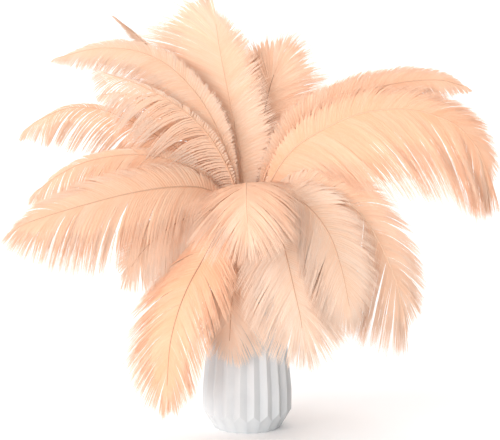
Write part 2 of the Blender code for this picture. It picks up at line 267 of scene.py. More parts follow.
# %% [markdown]
# ### Ring by ring
#
# The operators of edit mode work on what is selected. Points could be picked by their
# numbers, but those change with every extrusion. Here a test on its place picks each
# point: how high it is, and whether it lies in a valley.

# %% Pick and move parts of a ring
SAME_HEIGHT = 0.01          # heights no further apart than this are the same, in millimetres
TO_CAMERA = 0.25            # of a turn, from the camera's side to +X


def is_valley(vertex):
    """Whether a point of the vase lies in a valley; one valley faces the camera."""
    turn = math.atan2(vertex.co.y, vertex.co.x) / (2 * math.pi) + TO_CAMERA
    return round(turn * 2 * PLEATS) % 2 == 0


def at_height(vertex, height):
    """Whether a point lies at a height in millimetres."""
    return abs(vertex.co.z - height * MM) < SAME_HEIGHT * MM


def pick(test):
    """Select the points that pass a test, and no others."""
    mesh = bmesh.from_edit_mesh(bpy.context.object.data)
    for vertex in mesh.verts:
        vertex.select_set(bool(test(vertex)))
    mesh.select_flush(True)
    bmesh.update_edit_mesh(bpy.context.object.data)


def picked():
    """The height of each selected point in metres, by the point's number."""
    mesh = bmesh.from_edit_mesh(bpy.context.object.data)
    return {vertex.index: vertex.co.z for vertex in mesh.verts if vertex.select}


def scale_flat(factor):
    """Scale what is picked towards the vase's axis."""
    bpy.ops.transform.resize(value=(factor, factor, 1.0), center_override=(0.0, 0.0, 0.0))


def extrude(rise):
    """Extrude what is picked straight up, by metres."""
    bpy.ops.mesh.extrude_region_move(TRANSFORM_OT_translate={"value": (0.0, 0.0, rise)})


# %% The foot: twenty facets, folded in along their middles
bpy.ops.object.select_all(action="DESELECT")
bpy.ops.mesh.primitive_circle_add(vertices=2 * PLEATS, radius=FOOT_RADIUS * MM,
                                  fill_type="NOTHING", location=(0.0, 0.0, 0.0))
vase = bpy.context.object
vase.name = "vase_pleated"
bpy.ops.object.mode_set(mode="EDIT")
half_pitch = math.cos(math.pi / PLEATS)
pick(lambda vertex: not is_valley(vertex))
scale_flat(half_pitch - FOOT_FOLD / FOOT_RADIUS)
print("foot:", len(picked()), "facets")

# %% The gables, where the ridges begin
slope = (VASE_PROFILE[0][1] / half_pitch - FOOT_RADIUS) / RIDGE_START
pick(lambda vertex: True)
extrude(VALLEY_START * MM)
ridge_now = (FOOT_RADIUS + slope * RIDGE_START) * half_pitch
valley_now = FOOT_RADIUS + slope * VALLEY_START
pick(lambda vertex: at_height(vertex, VALLEY_START) and is_valley(vertex))
scale_flat(valley_now / FOOT_RADIUS)
pick(lambda vertex: at_height(vertex, VALLEY_START) and not is_valley(vertex))
scale_flat(ridge_now / (FOOT_RADIUS * half_pitch - FOOT_FOLD))
bpy.ops.transform.translate(value=(0.0, 0.0, (RIDGE_START - VALLEY_START) * MM))
print("gables:", len(picked()))

# %% Up the body
pick(lambda vertex: not at_height(vertex, 0.0))
for height, ridge, valley in body_rows:
    top = max(picked().values())
    extrude(height * MM - top)
    if height == body_rows[0][0]:       # the ring of the gables isn't level
        bpy.ops.transform.resize(value=(1.0, 1.0, 0.0),
                                 center_override=(0.0, 0.0, height * MM))
    for chosen, factor in ((True, valley / valley_now), (False, ridge / ridge_now)):
        pick(lambda vertex: at_height(vertex, height) and is_valley(vertex) == chosen)
        scale_flat(factor)
    ridge_now, valley_now = ridge, valley
    pick(lambda vertex: at_height(vertex, height))
print("mouth:", len(picked()), "points at", round(height), "mm")

# %% The rim and the round inside
extrude(0.0)
inside = valley_now - VASE_WALL
new_ring = picked()
for chosen, radius_now in ((True, valley_now), (False, ridge_now)):
    pick(lambda vertex: vertex.index in new_ring and is_valley(vertex) == chosen)
    scale_flat(inside / radius_now)
pick(lambda vertex: vertex.index in new_ring)
height_now = VASE_HEIGHT
downwards = [(height, valley - VASE_WALL) for height, _, valley in VASE_PROFILE[-2::-1]]
downwards.append((VASE_FLOOR, FOOT_RADIUS - VASE_WALL))
for height, radius in downwards:
    extrude((height - height_now) * MM)
    scale_flat(radius / inside)
    height_now, inside = height, radius
print("inside floor:", round(2 * inside, 1), "mm across")

# %% The two floors
bpy.ops.mesh.edge_face_add()
pick(lambda vertex: at_height(vertex, 0.0))
bpy.ops.mesh.edge_face_add()
bpy.ops.mesh.select_all(action="SELECT")
bpy.ops.mesh.normals_make_consistent(inside=False)
bpy.ops.object.mode_set(mode="OBJECT")
print("faces:", len(vase.data.polygons))

# %% Soften the folds as glaze does
GLAZE_ROUND = 0.55          # width of the rounding, in millimetres
FOLD_ANGLE = 20.0           # folds over this are rounded
SMOOTH_ANGLE = 24.0         # edges under this are shaded smooth

bevel = vase.modifiers.new("glazed_edges", "BEVEL")
bevel.width = GLAZE_ROUND * MM
bevel.segments = 3
bevel.limit_method = "ANGLE"
bevel.angle_limit = math.radians(FOLD_ANGLE)
bpy.ops.object.modifier_apply(modifier=bevel.name)
bpy.ops.object.shade_smooth_by_angle(angle=math.radians(SMOOTH_ANGLE))
print("vase:", len(vase.data.polygons), "faces,",
      [round(v, 4) for v in vase.dimensions])

# %% [markdown]
# ### Glaze
#
# The glaze is a satin white: a broad soft sheen, no mirror. It has pulled a little thinner
# on the ridges, and pools, a shade deeper and cooler, in the valleys.
#
# The pleats could be found with a pointiness node. Their number is known, so a cosine of
# twenty times the angle round the axis tells ridge from valley, at any mesh density.

# %% Satin glaze
THIN, EVEN, POOLED = (0.640, 0.650, 0.656), (0.608, 0.622, 0.632), (0.560, 0.577, 0.592)
NOISE_LOW, NOISE_HIGH = 0.3, 0.7        # most of a noise lies between these

glaze, tree, shader = new_material("satin_glaze")
place = add_node(tree, "ShaderNodeTexCoord").outputs["Object"]
axes = add_node(tree, "ShaderNodeSeparateXYZ", {"Vector": place}).outputs
around = add_math(tree, "ARCTAN2", axes["Y"], axes["X"])
pleat = add_math(tree, "COSINE", add_math(tree, "MULTIPLY", around, float(PLEATS)))
pools = add_node(tree, "ShaderNodeTexNoise",
                 {"Vector": place, "Scale": 45.0, "Detail": 3.0}).outputs["Fac"]
grain = add_node(tree, "ShaderNodeTexNoise",
                 {"Vector": place, "Scale": 1400.0, "Detail": 2.0}).outputs["Fac"]
thickness = add_math(tree, "ADD", add_math(tree, "MULTIPLY", pleat, 0.22), pools)
glaze_colour = add_ramp(tree, add_range(tree, thickness, 0.1, 0.9, 0.0, 1.0),
                        (0.0, THIN), (0.5, EVEN), (1.0, POOLED))
relief = add_math(tree, "ADD", pools, add_math(tree, "MULTIPLY", grain, 0.05))
bump = add_node(tree, "ShaderNodeBump", {"Height": relief, "Strength": 0.35,
                                         "Distance": 0.0006})
fill(tree, shader, {"Base Color": glaze_colour, "Normal": bump.outputs["Normal"],
                    "Roughness": add_range(tree, pools, NOISE_LOW, NOISE_HIGH, 0.30, 0.42)})
vase.data.materials.append(glaze)
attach(vase, "root")
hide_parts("vase")
print("glaze:", len(tree.nodes), "nodes")

# %% [markdown]
# ## The plumes
#
# An ostrich plume has a soft shaft, and on each side of it a vane of long loose barbs.
# They have no hooks, so nothing zips them together: they gather in locks, droop, and end
# in separate wisps.
#
# Each plume is laid out one by one. The shafts are those of the imported model: `ring` and
# `direction` say where the quill stands in the mouth, and `route` has the points that the
# shaft goes through. `turn` is how far the face is turned about the shaft, in degrees, at the
# base and at the tip. `left` and `right` are the lengths of the longest barbs, and `tip` that
# of the last ones, as a share. Some faces are turned further than in the model, and some
# vanes are narrower or wider, to show the plume as the picture does.
#
# `tone` is the tint, from 0, deep, to 1, pale, and `shaft` the tint of the shaft. The plumes
# that hang in the shade of the bunch have lighter tones, so part of their tint is painted
# light. `loose` is how far the barbs gather in locks, and over a half also how far the
# strands stand apart and hang.

# %% The plan of the bunch, in millimetres
INNER_RING = 11.0
OUTER_RING = 18.0
Plume = namedtuple("Plume", "name ring direction route turn left right tip tone shaft loose")

PLUMES = (
    Plume("front_centre", OUTER_RING, 274,
          ((1, -24, 231), (-1, -44, 251), (-1, -72, 257), (-1, -97, 246),
           (0, -112, 229), (0, -118, 218)),
          (0, 0), 66, 66, 0.28, 0.52, 0.62, 0.7),
    Plume("front_left", OUTER_RING, 243,
          ((-11, -27, 222), (-22, -44, 218), (-39, -62, 188), (-55, -77, 161),
           (-66, -86, 135), (-74, -91, 103), (-77, -95, 64)),
          (-5, 0), 55, 62, 0.36, 0.26, 0.10, 0.66),
    Plume("front_right", OUTER_RING, 291,
          ((11, -26, 222), (23, -45, 224), (32, -62, 207), (40, -74, 179),
           (46, -82, 153), (51, -86, 132), (53, -88, 119)),
          (28, 26), 64, 58, 0.48, 0.90, 0.30, 0.58),
    Plume("front_low", OUTER_RING, 258,
          ((-4, -23, 213), (-8, -36, 205), (-11, -46, 180), (-14, -52, 146),
           (-16, -56, 120), (-17, -58, 100)),
          (0, 0), 48, 42, 0.35, 0.84, 0.30, 0.62),
    Plume("front_side", OUTER_RING, 311,
          ((17, -22, 227), (36, -36, 240), (59, -50, 232), (80, -62, 206),
           (92, -70, 172), (99, -75, 138)),
          (72, 45), 46, 52, 0.40, 0.76, 0.40, 0.5),
    Plume("right_low", OUTER_RING, 332,
          ((21, -12, 231), (50, -20, 248), (86, -26, 242), (114, -31, 219),
           (135, -36, 185), (148, -40, 152), (152, -42, 136)),
          (92, 60), 50, 78, 0.43, 0.62, 0.80, 0.7),
    Plume("right_arch", INNER_RING, 350,
          ((21, -4, 244), (43, -7, 280), (72, -10, 301), (112, -13, 319),
           (159, -16, 323), (201, -19, 311), (225, -22, 288), (235, -25, 266)),
          (80, 60), 46, 92, 0.35, 0.34, 0.45, 0.56),
    Plume("left_arch", OUTER_RING, 187,
          ((-23, -5, 237), (-43, -9, 267), (-70, -13, 285), (-105, -17, 307),
           (-140, -22, 323), (-173, -26, 326), (-202, -30, 315), (-214, -31, 307)),
          (-82, -40), 46, 15, 0.25, 0.46, 0.40, 0.85),
    Plume("left_crest", INNER_RING, 210,
          ((-13, -12, 247), (-29, -20, 284), (-47, -28, 310), (-73, -36, 332),
           (-105, -43, 350), (-138, -48, 362)),
          (-112, -88), 52, 12, 0.25, 0.72, 0.50, 1.0),
    Plume("left_high", INNER_RING, 180,
          ((-11, -2, 246), (-25, -5, 292), (-41, -8, 325), (-61, -11, 351),
           (-85, -13, 371), (-115, -15, 382), (-149, -17, 383), (-183, -19, 375)),
          (-97, -42), 36, 22, 0.25, 0.66, 0.50, 0.5),
    Plume("left_mid", OUTER_RING, 201,
          ((-23, -13, 233), (-42, -23, 258), (-76, -35, 276), (-113, -45, 282),
           (-152, -53, 277), (-180, -59, 265), (-200, -62, 251)),
          (-82, -50), 44, 16, 0.35, 0.52, 0.45, 0.75),
    Plume("left_broad", OUTER_RING, 228,
          ((-18, -24, 229), (-41, -42, 248), (-76, -62, 252), (-114, -78, 248),
           (-151, -90, 240), (-185, -98, 231), (-207, -102, 224)),
          (-84, -62), 62, 46, 0.42, 0.50, 0.35, 0.62),
    Plume("left_low", OUTER_RING, 214,
          ((-18, -17, 220), (-33, -27, 225), (-59, -37, 219), (-84, -44, 204),
           (-103, -48, 186), (-113, -50, 172)),
          (-75, -45), 44, 34, 0.40, 0.80, 0.40, 0.4),
    Plume("top_tall", INNER_RING, 106,
          ((-4, 12, 236), (-7, 13, 269), (-12, 15, 301), (-20, 18, 342), (-27, 22, 378),
           (-31, 25, 405)),
          (-30, -16), 118, 52, 0.38, 0.66, 0.50, 0.25),
    Plume("top_right", INNER_RING, 50,
          ((10, 16, 244), (14, 23, 285), (18, 29, 318), (23, 35, 341), (27, 39, 353)),
          (45, 38), 70, 72, 0.88, 0.58, 0.12, 0.15),
    Plume("top_edge", OUTER_RING, 128,
          ((-18, 22, 240), (-38, 35, 293), (-65, 49, 336), (-93, 60, 372),
           (-118, 67, 396), (-134, 71, 409)),
          (24, 24), 22, 26, 0.25, 0.60, 0.30, 0.4),
    Plume("left_rear", OUTER_RING, 164,
          ((-21, 4, 241), (-43, 3, 279), (-69, 4, 309), (-101, 8, 329),
           (-127, 13, 337), (-145, 17, 335)),
          (-84, -50), 26, 10, 0.30, 0.50, 0.40, 1.0),
    Plume("right_rear", INNER_RING, 22,
          ((15, 4, 245), (31, 5, 281), (59, 8, 313), (103, 13, 335), (153, 19, 347),
           (193, 25, 349), (216, 29, 343)),
          (88, 60), 32, 34, 0.30, 0.50, 0.40, 0.4),
    Plume("back_top", INNER_RING, 78,
          ((2, 22, 250), (5, 36, 286), (8, 56, 324), (10, 76, 348), (10, 96, 360)),
          (0, 0), 58, 58, 0.40, 0.68, 0.40, 0.4),
    Plume("back_left", OUTER_RING, 147,
          ((-25, 16, 235), (-46, 38, 265), (-76, 64, 281), (-107, 91, 275),
           (-132, 112, 249), (-144, 122, 221)),
          (0, 0), 60, 60, 0.40, 0.64, 0.30, 0.4),
    Plume("back_right", OUTER_RING, 44,
          ((20, 20, 238), (38, 44, 268), (60, 74, 284), (82, 104, 276), (98, 126, 250),
           (106, 138, 222)),
          (0, 0), 56, 56, 0.40, 0.74, 0.40, 0.4),
    Plume("back_low_left", OUTER_RING, 114,
          ((-12, 26, 222), (-26, 48, 228), (-44, 74, 210), (-58, 94, 176),
           (-67, 104, 140), (-71, 109, 112)),
          (0, 0), 54, 54, 0.40, 0.66, 0.30, 0.4),
    Plume("back_low_right", OUTER_RING, 66,
          ((12, 26, 222), (26, 48, 228), (42, 76, 212), (54, 98, 180), (62, 110, 144),
           (66, 116, 114)),
          (0, 0), 54, 54, 0.40, 0.70, 0.40, 0.4),
    Plume("back_middle", OUTER_RING, 90,
          ((0, 26, 236), (2, 50, 262), (2, 84, 276), (0, 118, 266), (-2, 144, 238),
           (-3, 154, 210)),
          (0, 0), 58, 58, 0.40, 0.78, 0.40, 0.4),
)
print("plumes:", len(PLUMES))

# %% [markdown]
# ### The line of a shaft
#
# A quill stands upright in the vase up to the mouth, and its shaft then follows its points
# in one smooth curve. At every place on it a barb has to know three directions: along the
# shaft, out of the plume's face, and to its left.
#
# A curve object's own tilt could give them. Carrying one direction along the curve from
# step to step, with the least turn each time, gives them without surprises at the bends.

# %% Shaft lines
QUILL_FOOT = VASE_FLOOR + 0.3
MOUTH_EXIT = 196.0          # up to about this height a quill stands upright
VANE_START = 0.10           # share of the shaft above it that is bare
CURVE_STEPS = 12            # from one point of a route to the next
LINE_POINTS = 160           # on a whole shaft
LOOK = 3.0                  # directions are taken over this far each way

Line = namedtuple("Line", "distance place along face left vane_at length")


def unit(vectors):
    """The same directions, each one unit long."""
    return vectors / np.linalg.norm(vectors, axis=-1, keepdims=True)


def sample(line_at, points, distance):
    """Points at distances along a line, straight on past its ends."""
    clipped = np.clip(distance, line_at[0], line_at[-1])
    found = np.stack([np.interp(clipped, line_at, points[:, k]) for k in range(3)], -1)
    before = unit(points[1] - points[0])
    after = unit(points[-1] - points[-2])
    beyond = (distance - clipped)[..., None]
    return found + np.where(beyond < 0, before, after) * beyond


def shaft_line(plume):
    """The smooth line of a plume's shaft, with its directions every few millimetres."""
    direction = math.radians(plume.direction)
    slot = plume.ring * np.array((math.cos(direction), math.sin(direction), 0.0))
    foot, leaving = slot + (0, 0, QUILL_FOOT), slot + (0, 0, MOUTH_EXIT)
    points = smooth_line(np.vstack((foot, (foot + leaving) / 2, leaving, plume.route)),
                         CURVE_STEPS)
    reach = np.concatenate(((0,), np.cumsum(np.linalg.norm(np.diff(points, axis=0),
                                                           axis=1))))
    exit_at = MOUTH_EXIT - QUILL_FOOT
    length = reach[-1]
    vane_at = exit_at + VANE_START * (length - exit_at)

    distance = np.linspace(0.0, length, LINE_POINTS)
    place = sample(reach, points, distance)
    along = unit(sample(reach, points, distance + LOOK)
                 - sample(reach, points, distance - LOOK))
    heading, facing = Vector((0, 0, 1)), Vector(-slot).normalized()
    face = []
    for at, ahead in zip(distance, along):
        ahead = Vector(ahead)
        facing = heading.rotation_difference(ahead) @ facing
        facing = (facing - ahead * facing.dot(ahead)).normalized()
        heading = ahead
        share = max(0.0, (at - vane_at) / (length - vane_at))
        turn = math.radians(plume.turn[0] + (plume.turn[1] - plume.turn[0]) * share)
        face.append(Matrix.Rotation(turn, 3, ahead) @ facing)
    face = np.array(face)
    return Line(distance, place, along, face, np.cross(face, along), vane_at, length)


def at_share(line, share):
    """Place and directions at shares of the vane's length."""
    distance = line.vane_at + share * (line.length - line.vane_at)
    place = sample(line.distance, line.place, distance)
    along, face, left = (
        unit(np.stack([np.interp(distance, line.distance, way[:, k]) for k in range(3)], -1))
        for way in (line.along, line.face, line.left))
    return place, along, face, left


lines = {plume.name: shaft_line(plume) for plume in PLUMES}
print("shafts from", round(min(line.length for line in lines.values())), "to",
      round(max(line.length for line in lines.values())), "mm long")

# %% [markdown]
# ### The path of a barb
#
# A barb leaves the shaft at a wide angle near the vane's base and ever more forward towards
# the tip. It sweeps forward along its length, and its own weight bends it down.
#
# All barbs of a vane are worked out together as arrays: one row for each barb, one column
# for each ring of its mesh.

# %% Barb paths
BASE_ANGLE, HEAD_ANGLE, TIP_ANGLE = 76.0, 48.0, 1.0     # between barb and shaft
HEAD_START = 0.86           # share of the vane where the tip's fan begins
BASE_BARB = 0.07            # length of the first barbs, as a share of the longest
FULL_AT = 0.38              # share of the vane where they reach their full length
WIDE_UNTIL = 0.60           # share of the vane where they begin to shorten
HEAD_CURVE = 1.5            # over 1, they shorten slowly at first, and the head is round
SWEEP = 0.15                # how far a barb bends towards the tip, as a share of its length
DROOP = 0.30                # how far it hangs, in the same measure
LEAD = 26.0                 # how much further forward a hanging barb sets off, in degrees
DOWN = np.array((0.0, 0.0, -1.0))


def smoothstep(share):
    """A rise from 0 to 1 that starts and ends gently."""
    share = np.clip(share, 0.0, 1.0)
    return share * share * (3.0 - 2.0 * share)


def barb_angle(share):
    """The angle between barb and shaft in degrees, at shares of the vane's length."""
    return np.interp(share, (0.0, HEAD_START, 1.0), (BASE_ANGLE, HEAD_ANGLE, TIP_ANGLE))


def barb_length(share, tip):
    """The length of the barbs, as a share of the longest."""
    base = BASE_BARB + (1.0 - BASE_BARB) * smoothstep(share / FULL_AT)
    beyond = np.clip((share - WIDE_UNTIL) / (1.0 - WIDE_UNTIL), 0, 1)
    return base * (1.0 + (tip - 1.0) * beyond ** HEAD_CURVE)


def barb_paths(line, side, share, length, turn, lift, sag, curl, out):
    """Points on barbs, a row each, at shares out along them, and the way up from each.

    side is 1 for the left vane and -1 for the right one.
    """
    place, along, face, left = at_share(line, share)
    angle = np.radians(barb_angle(share) + turn)[:, None]
    lift = np.radians(lift)[:, None]
    sideways = left * side * np.cos(lift) + face * np.sin(lift)
    end = along * np.cos(angle) + sideways * np.sin(angle)
    end += SWEEP * along + DROOP * sag[:, None] * DOWN
    hanging = np.clip(sideways @ DOWN, 0.0, 1.0)[:, None]
    angle = angle - np.radians(LEAD) * hanging
    start = along * np.cos(angle) + sideways * np.sin(angle)
    reach = length[:, None, None]
    out = out[None, :, None]
    path = place[:, None] + reach * (start[:, None] * out
                                     + (end - start)[:, None] * out ** 2
                                     + (curl[:, None] * (along + face))[:, None] * out ** 3)
    upright = face * np.cos(lift) - left * side * np.sin(lift)
    return path, upright


# %% [markdown]
# ### Locks
#
# Barbs that touch cling together, so a vane is not an even comb. A few barbs make a
# strand, and a handful of strands make a lock a centimetre or two wide. Each has a
# direction, a length and a tint of its own, and the barbs of a strand close up towards
# its tip into a wisp.
#
# A noise on every barb would only blur the vane. Here every barb is pulled part of the
# way to its strand's middle barb, and every strand to its lock's, more and more towards
# the tip, and a few strays hardly follow.

# %% Locks and strands
CROWDING = 0.45             # how much closer barbs stand at the head than evenly spread
Spread = namedtuple("Spread", "widths turn lift stretch tint sag curl")
LOCKS = Spread(widths=(8.0, 20.0), turn=2.2, lift=1.6, stretch=(-0.08, 0.04), tint=0.06,
               sag=0.10, curl=0.02)
STRANDS = Spread(widths=(1.5, 3.2), turn=0.5, lift=0.3, stretch=(-0.05, 0.04), tint=0.03,
                 sag=0.10, curl=0.02)


def towards_head(share):
    """Evenly spread shares crowded towards the head, where barbs fan out."""
    return share + CROWDING * share * (1.0 - share)


class Groups:
    """Groups of random width along a vane, and how each one differs from the even comb."""

    def __init__(self, chance, total, spread, loose):
        edges = [0.0]
        while edges[-1] < total:
            edges.append(edges[-1] + chance.uniform(*spread.widths))
        self.edges = towards_head(np.minimum(np.array(edges) / total, 1.0))
        self.middle = (self.edges[:-1] + self.edges[1:]) / 2
        size = len(self.middle)
        self.turn = loose * chance.normal(0.0, spread.turn, size)
        self.lift = loose * chance.normal(0.0, spread.lift, size)
        self.stretch = 1.0 + loose * chance.uniform(*spread.stretch, size)
        self.tint = chance.normal(0.0, spread.tint, size)
        self.sag = 1.0 + loose * chance.normal(0.0, spread.sag, size)
        self.curl = loose * chance.normal(0.0, spread.curl, size)

    def holding(self, share):
        """The number of the group at each share of the vane."""
        return np.clip(np.searchsorted(self.edges, share, "right") - 1, 0,
                       len(self.middle) - 1)


print("locks are", LOCKS.widths, "mm wide, strands", STRANDS.widths)

# %% [markdown]
# ### Ribbons, hairs and wisps
#
# Three kinds of barb share the work. Ribbons, one to a strand, close the vane out to four
# fifths of its width. Fine hairs run along them from the shaft to the tip. Finer wisps
# are there only in the outer half, where the vane thins out into its fringe.
#
# One kind would do for a plume seen close up, with ten times as many barbs. On a loose
# plume the ribbons are narrow, and the others keep closer to their strands, so that the
# background shows between the strands.

# %% Ribbons, hairs and wisps
# per_mm: barbs on a millimetre of shaft. out: where their rings are, as shares of their
# length. widths: in millimetres, at each ring. cling: how close they keep to their strand.
# The last field lightens their tint, which for the wisps is painted light, as the thin fringe
# lies in its own shade.
Barbs = namedtuple("Barbs", "per_mm out widths cling paler")
HAIRS = Barbs(per_mm=1.0,
              out=np.array((0.0, 0.25, 0.50, 0.74, 0.90, 1.0)),
              widths=np.array((0.36, 0.42, 0.38, 0.28, 0.16)), cling=0.35, paler=0.0)
WISPS = Barbs(per_mm=3.4,
              out=np.array((0.55, 0.72, 0.88, 1.0)),
              widths=np.array((0.30, 0.30, 0.20)), cling=0.50, paler=0.12)
RIBBON_LENGTH = 0.82        # of its barb
# painted shade: the ribbons are tinted deeper, as their flat faces catch more light than the
# hairs and wisps
RIBBON_PAINTED_SHADE = -0.12

LOCK_CLING = 0.28           # how close the strands of a loose plume keep to their locks
CLING_CURVE = 2.0           # over 1, a barb closes up towards its end
APART_CLING = 0.35          # where strands stand apart, barbs keep this much closer to them
APART_SOONER = 0.7          # they close up nearer to the shaft
APART_SAG = 0.7             # and they hang more

# strays among the single barbs, and how far single barbs differ from each other
STRAY_SHARE, STRAY_CLING, STRAY_LENGTH = 0.10, 0.1, 1.06
BARB_LENGTHS = (0.85, 1.12)
BARB_TURN = 1.2
BARB_LIFT = (0.3, 0.8)
BARB_CURL = 0.04
BARB_TINT = 0.04


def apart(plume):
    """How far the strands of a plume stand apart, from 0, closed, to 1, separate."""
    return max(0.0, 2.0 * plume.loose - 1.0)


def vane(chance, plume, line, side):
    """The ribbons, hairs and wisps of one side of a plume: paths, uprights and tints."""
    longest = plume.left if side > 0 else plume.right
    total = line.length - line.vane_at
    locks = Groups(chance, total, LOCKS, plume.loose)
    strands = Groups(chance, total, STRANDS, 1.0)
    to_lock = LOCK_CLING * plume.loose

    def paths(out, share, lock, turn, lift, stretch, curl):
        """Barbs as their locks hold them."""
        length = longest * barb_length(share, plume.tip) * locks.stretch[lock] * stretch
        return barb_paths(line, side, share, length, locks.turn[lock] + turn,
                          locks.lift[lock] + lift, locks.sag[lock] + APART_SAG * apart(plume),
                          locks.curl[lock] + curl, out)

    def pull(out, amount):
        """How far barbs are pulled to their group's middle, at shares out along them."""
        return amount * out[None, :, None] ** (CLING_CURVE - APART_SOONER * apart(plume))

    def middles(out):
        """The middle barbs of the locks, and of the strands as their locks pull them."""
        of_locks, _ = paths(out, locks.middle, np.arange(len(locks.middle)),
                            0.0, 0.0, 1.0, 0.0)
        lock = locks.holding(strands.middle)
        of_strands, upright = paths(out, strands.middle, lock, strands.turn,
                                    strands.lift, strands.stretch, strands.curl)
        of_strands += pull(out, to_lock) * (of_locks[lock] - of_strands)
        return of_locks, of_strands, upright

    def single_barbs(kind):
        """Hairs or wisps, each with ways of its own."""
        out, to_strand = kind.out, kind.cling + APART_CLING * apart(plume)
        of_locks, of_strands, _ = middles(out)
        count = int(total * kind.per_mm)
        share = towards_head(np.sort(chance.uniform(0.0, 1.0, count)))
        lock, strand = locks.holding(share), strands.holding(share)
        stray = chance.uniform(0.0, 1.0, count) < STRAY_SHARE
        length = chance.uniform(*BARB_LENGTHS, count) * np.where(stray, STRAY_LENGTH, 1.0)
        barbs, upright = paths(out, share, lock,
                               strands.turn[strand] + chance.normal(0.0, BARB_TURN, count),
                               strands.lift[strand] + chance.normal(*BARB_LIFT, count),
                               strands.stretch[strand] * length,
                               strands.curl[strand] + chance.normal(0.0, BARB_CURL, count))
        cling = np.where(stray, STRAY_CLING, 1.0)[:, None, None]
        barbs += cling * pull(out, to_lock) * (of_locks[lock] - barbs)
        barbs += cling * pull(out, to_strand) * (of_strands[strand] - barbs)
        # each barb's tint carries the painted light of its kind, and the plume's tone, which
        # is partly painted light
        own_tint = (plume.tone + kind.paler + locks.tint[lock] + strands.tint[strand]
                    + chance.normal(0.0, BARB_TINT, count))
        return barbs, upright, own_tint

    _, ribbons, upright = middles(HAIRS.out * RIBBON_LENGTH)
    # the ribbons' tint is deepened by painted shade, and the plume's tone is partly painted
    # light
    ribbon_tint = (plume.tone + RIBBON_PAINTED_SHADE + locks.tint[locks.holding(strands.middle)]
                   + strands.tint)
    return (ribbons, upright, ribbon_tint), single_barbs(HAIRS), single_barbs(WISPS)


print("strands stand apart on", sum(apart(plume) > 0 for plume in PLUMES), "plumes")

# %% [markdown]
# ### The mesh of a vane
#
# Every barb is a slim, closed roof of three sides, flat on the back and ridged on the face,
# that tapers to a point. Hair curves would be lighter, but a mesh can be exported, printed
# and lit anywhere.
#
# The UV map holds what the material needs: across, the barb's tint, and up, how far out
# along the barb a point is. The shaft has the top of the map.

# %% Where the next ribbon is
SMOOTH_OVER = 5             # ribbons that share one direction


def across_vane(ribbons, upright):
    """From each ribbon towards the next, square to it, at its rings: direction and gap."""
    ahead = unit(np.gradient(ribbons, axis=1))[:, :-1]
    step = np.gradient(ribbons[:, :-1], axis=0)
    each_way = SMOOTH_OVER // 2
    padded = np.pad(step, ((each_way, each_way), (0, 0), (0, 0)), mode="edge")
    step = sum(padded[k:k + len(step)] for k in range(SMOOTH_OVER)) / SMOOTH_OVER
    step -= ahead * (step * ahead).sum(axis=-1, keepdims=True)
    gap = np.linalg.norm(step, axis=-1)
    flat = unit(np.cross(upright[:, None], ahead))
    step *= np.sign((flat * step).sum(axis=-1, keepdims=True))
    return unit(step + 0.5 * gap[:, :1, None] * flat), gap      # crossing barbs have no gap


# %% Roofs
CORNERS = 3
TINT_HALF = 0.012           # half a barb's width in the UV map
TINT_RANGE = (0.03, 0.97)   # keeps every barb inside the UV map
BARB_V = (0.02, 0.90)
BASE_V = 0.006              # height of a barb's base in the UV map
UV_NAME = "OFBake"


def barb_faces(rings):
    """The faces of one barb, as corner numbers: its base, its sides and its point."""
    faces = [(2, 1, 0)]
    for ring in range(rings - 1):
        for corner in range(CORNERS):
            after = (corner + 1) % CORNERS
            near, far = ring * CORNERS, (ring + 1) * CORNERS
            faces.append((near + corner, near + after, far + after, far + corner))
    last, point = (rings - 1) * CORNERS, rings * CORNERS
    faces += [(last, last + 1, point), (last + 1, last + 2, point), (last + 2, last, point)]
    return faces


def roofs(chance, out, paths, upright, tint, width, height, twist, across=None):
    """The points of slim roofs along paths, and the place of each in the UV map."""
    rings = len(out) - 1
    ahead = unit(np.gradient(paths, axis=1))[:, :rings]
    twist = np.radians(chance.uniform(-twist, twist, len(paths)))[:, None, None]
    if across is None:
        across = unit(np.cross(upright[:, None], ahead))
    raised = np.cross(ahead, across)
    outwards = np.sign((raised[:, :1] * upright[:, None]).sum(axis=-1, keepdims=True))
    across, raised = across * outwards, raised * outwards
    across, raised = (across * np.cos(twist) + raised * np.sin(twist),
                      raised * np.cos(twist) - across * np.sin(twist))
    width = width[:, :, None]
    middle = paths[:, :rings]
    corners = np.stack((middle - across * width / 2 - raised * width * height / 3,
                        middle + across * width / 2 - raised * width * height / 3,
                        middle + raised * width * height * 2 / 3), axis=2)
    points = np.concatenate((corners.reshape(len(paths), -1, 3), paths[:, -1:]), axis=1)

    u_corner = np.array((-TINT_HALF, TINT_HALF, 0.0))
    u = np.concatenate((np.tile(u_corner, rings), (0.0,)))
    u = u[None] + np.clip(tint, *TINT_RANGE)[:, None]
    v_ring = BARB_V[0] + (BARB_V[1] - BARB_V[0]) * out
    v = np.concatenate((np.repeat(v_ring[:rings], CORNERS), v_ring[rings:]))
    v[2] -= BASE_V
    return points, np.stack((u, np.broadcast_to(v, u.shape)), axis=-1)


# %% The barbs of a vane as roofs
THICKNESS = (0.8, 1.2)      # how far the widths of single barbs differ
HAIR_HEIGHT = 0.18          # of its width
HAIR_TWIST = 12.0           # degrees about its own line, at most
RIBBON_TAPER = np.array((1.50, 1.50, 1.50, 1.25, 0.70))     # of the way to the next ribbon
RIBBON_WIDTHS = (0.8, 6.0)  # its width stays between these, in millimetres
RIBBON_SLIMMER = 0.62       # the share that it loses where strands stand apart
RIBBON_HEIGHT = 0.08
RIBBON_TWIST = 2.5


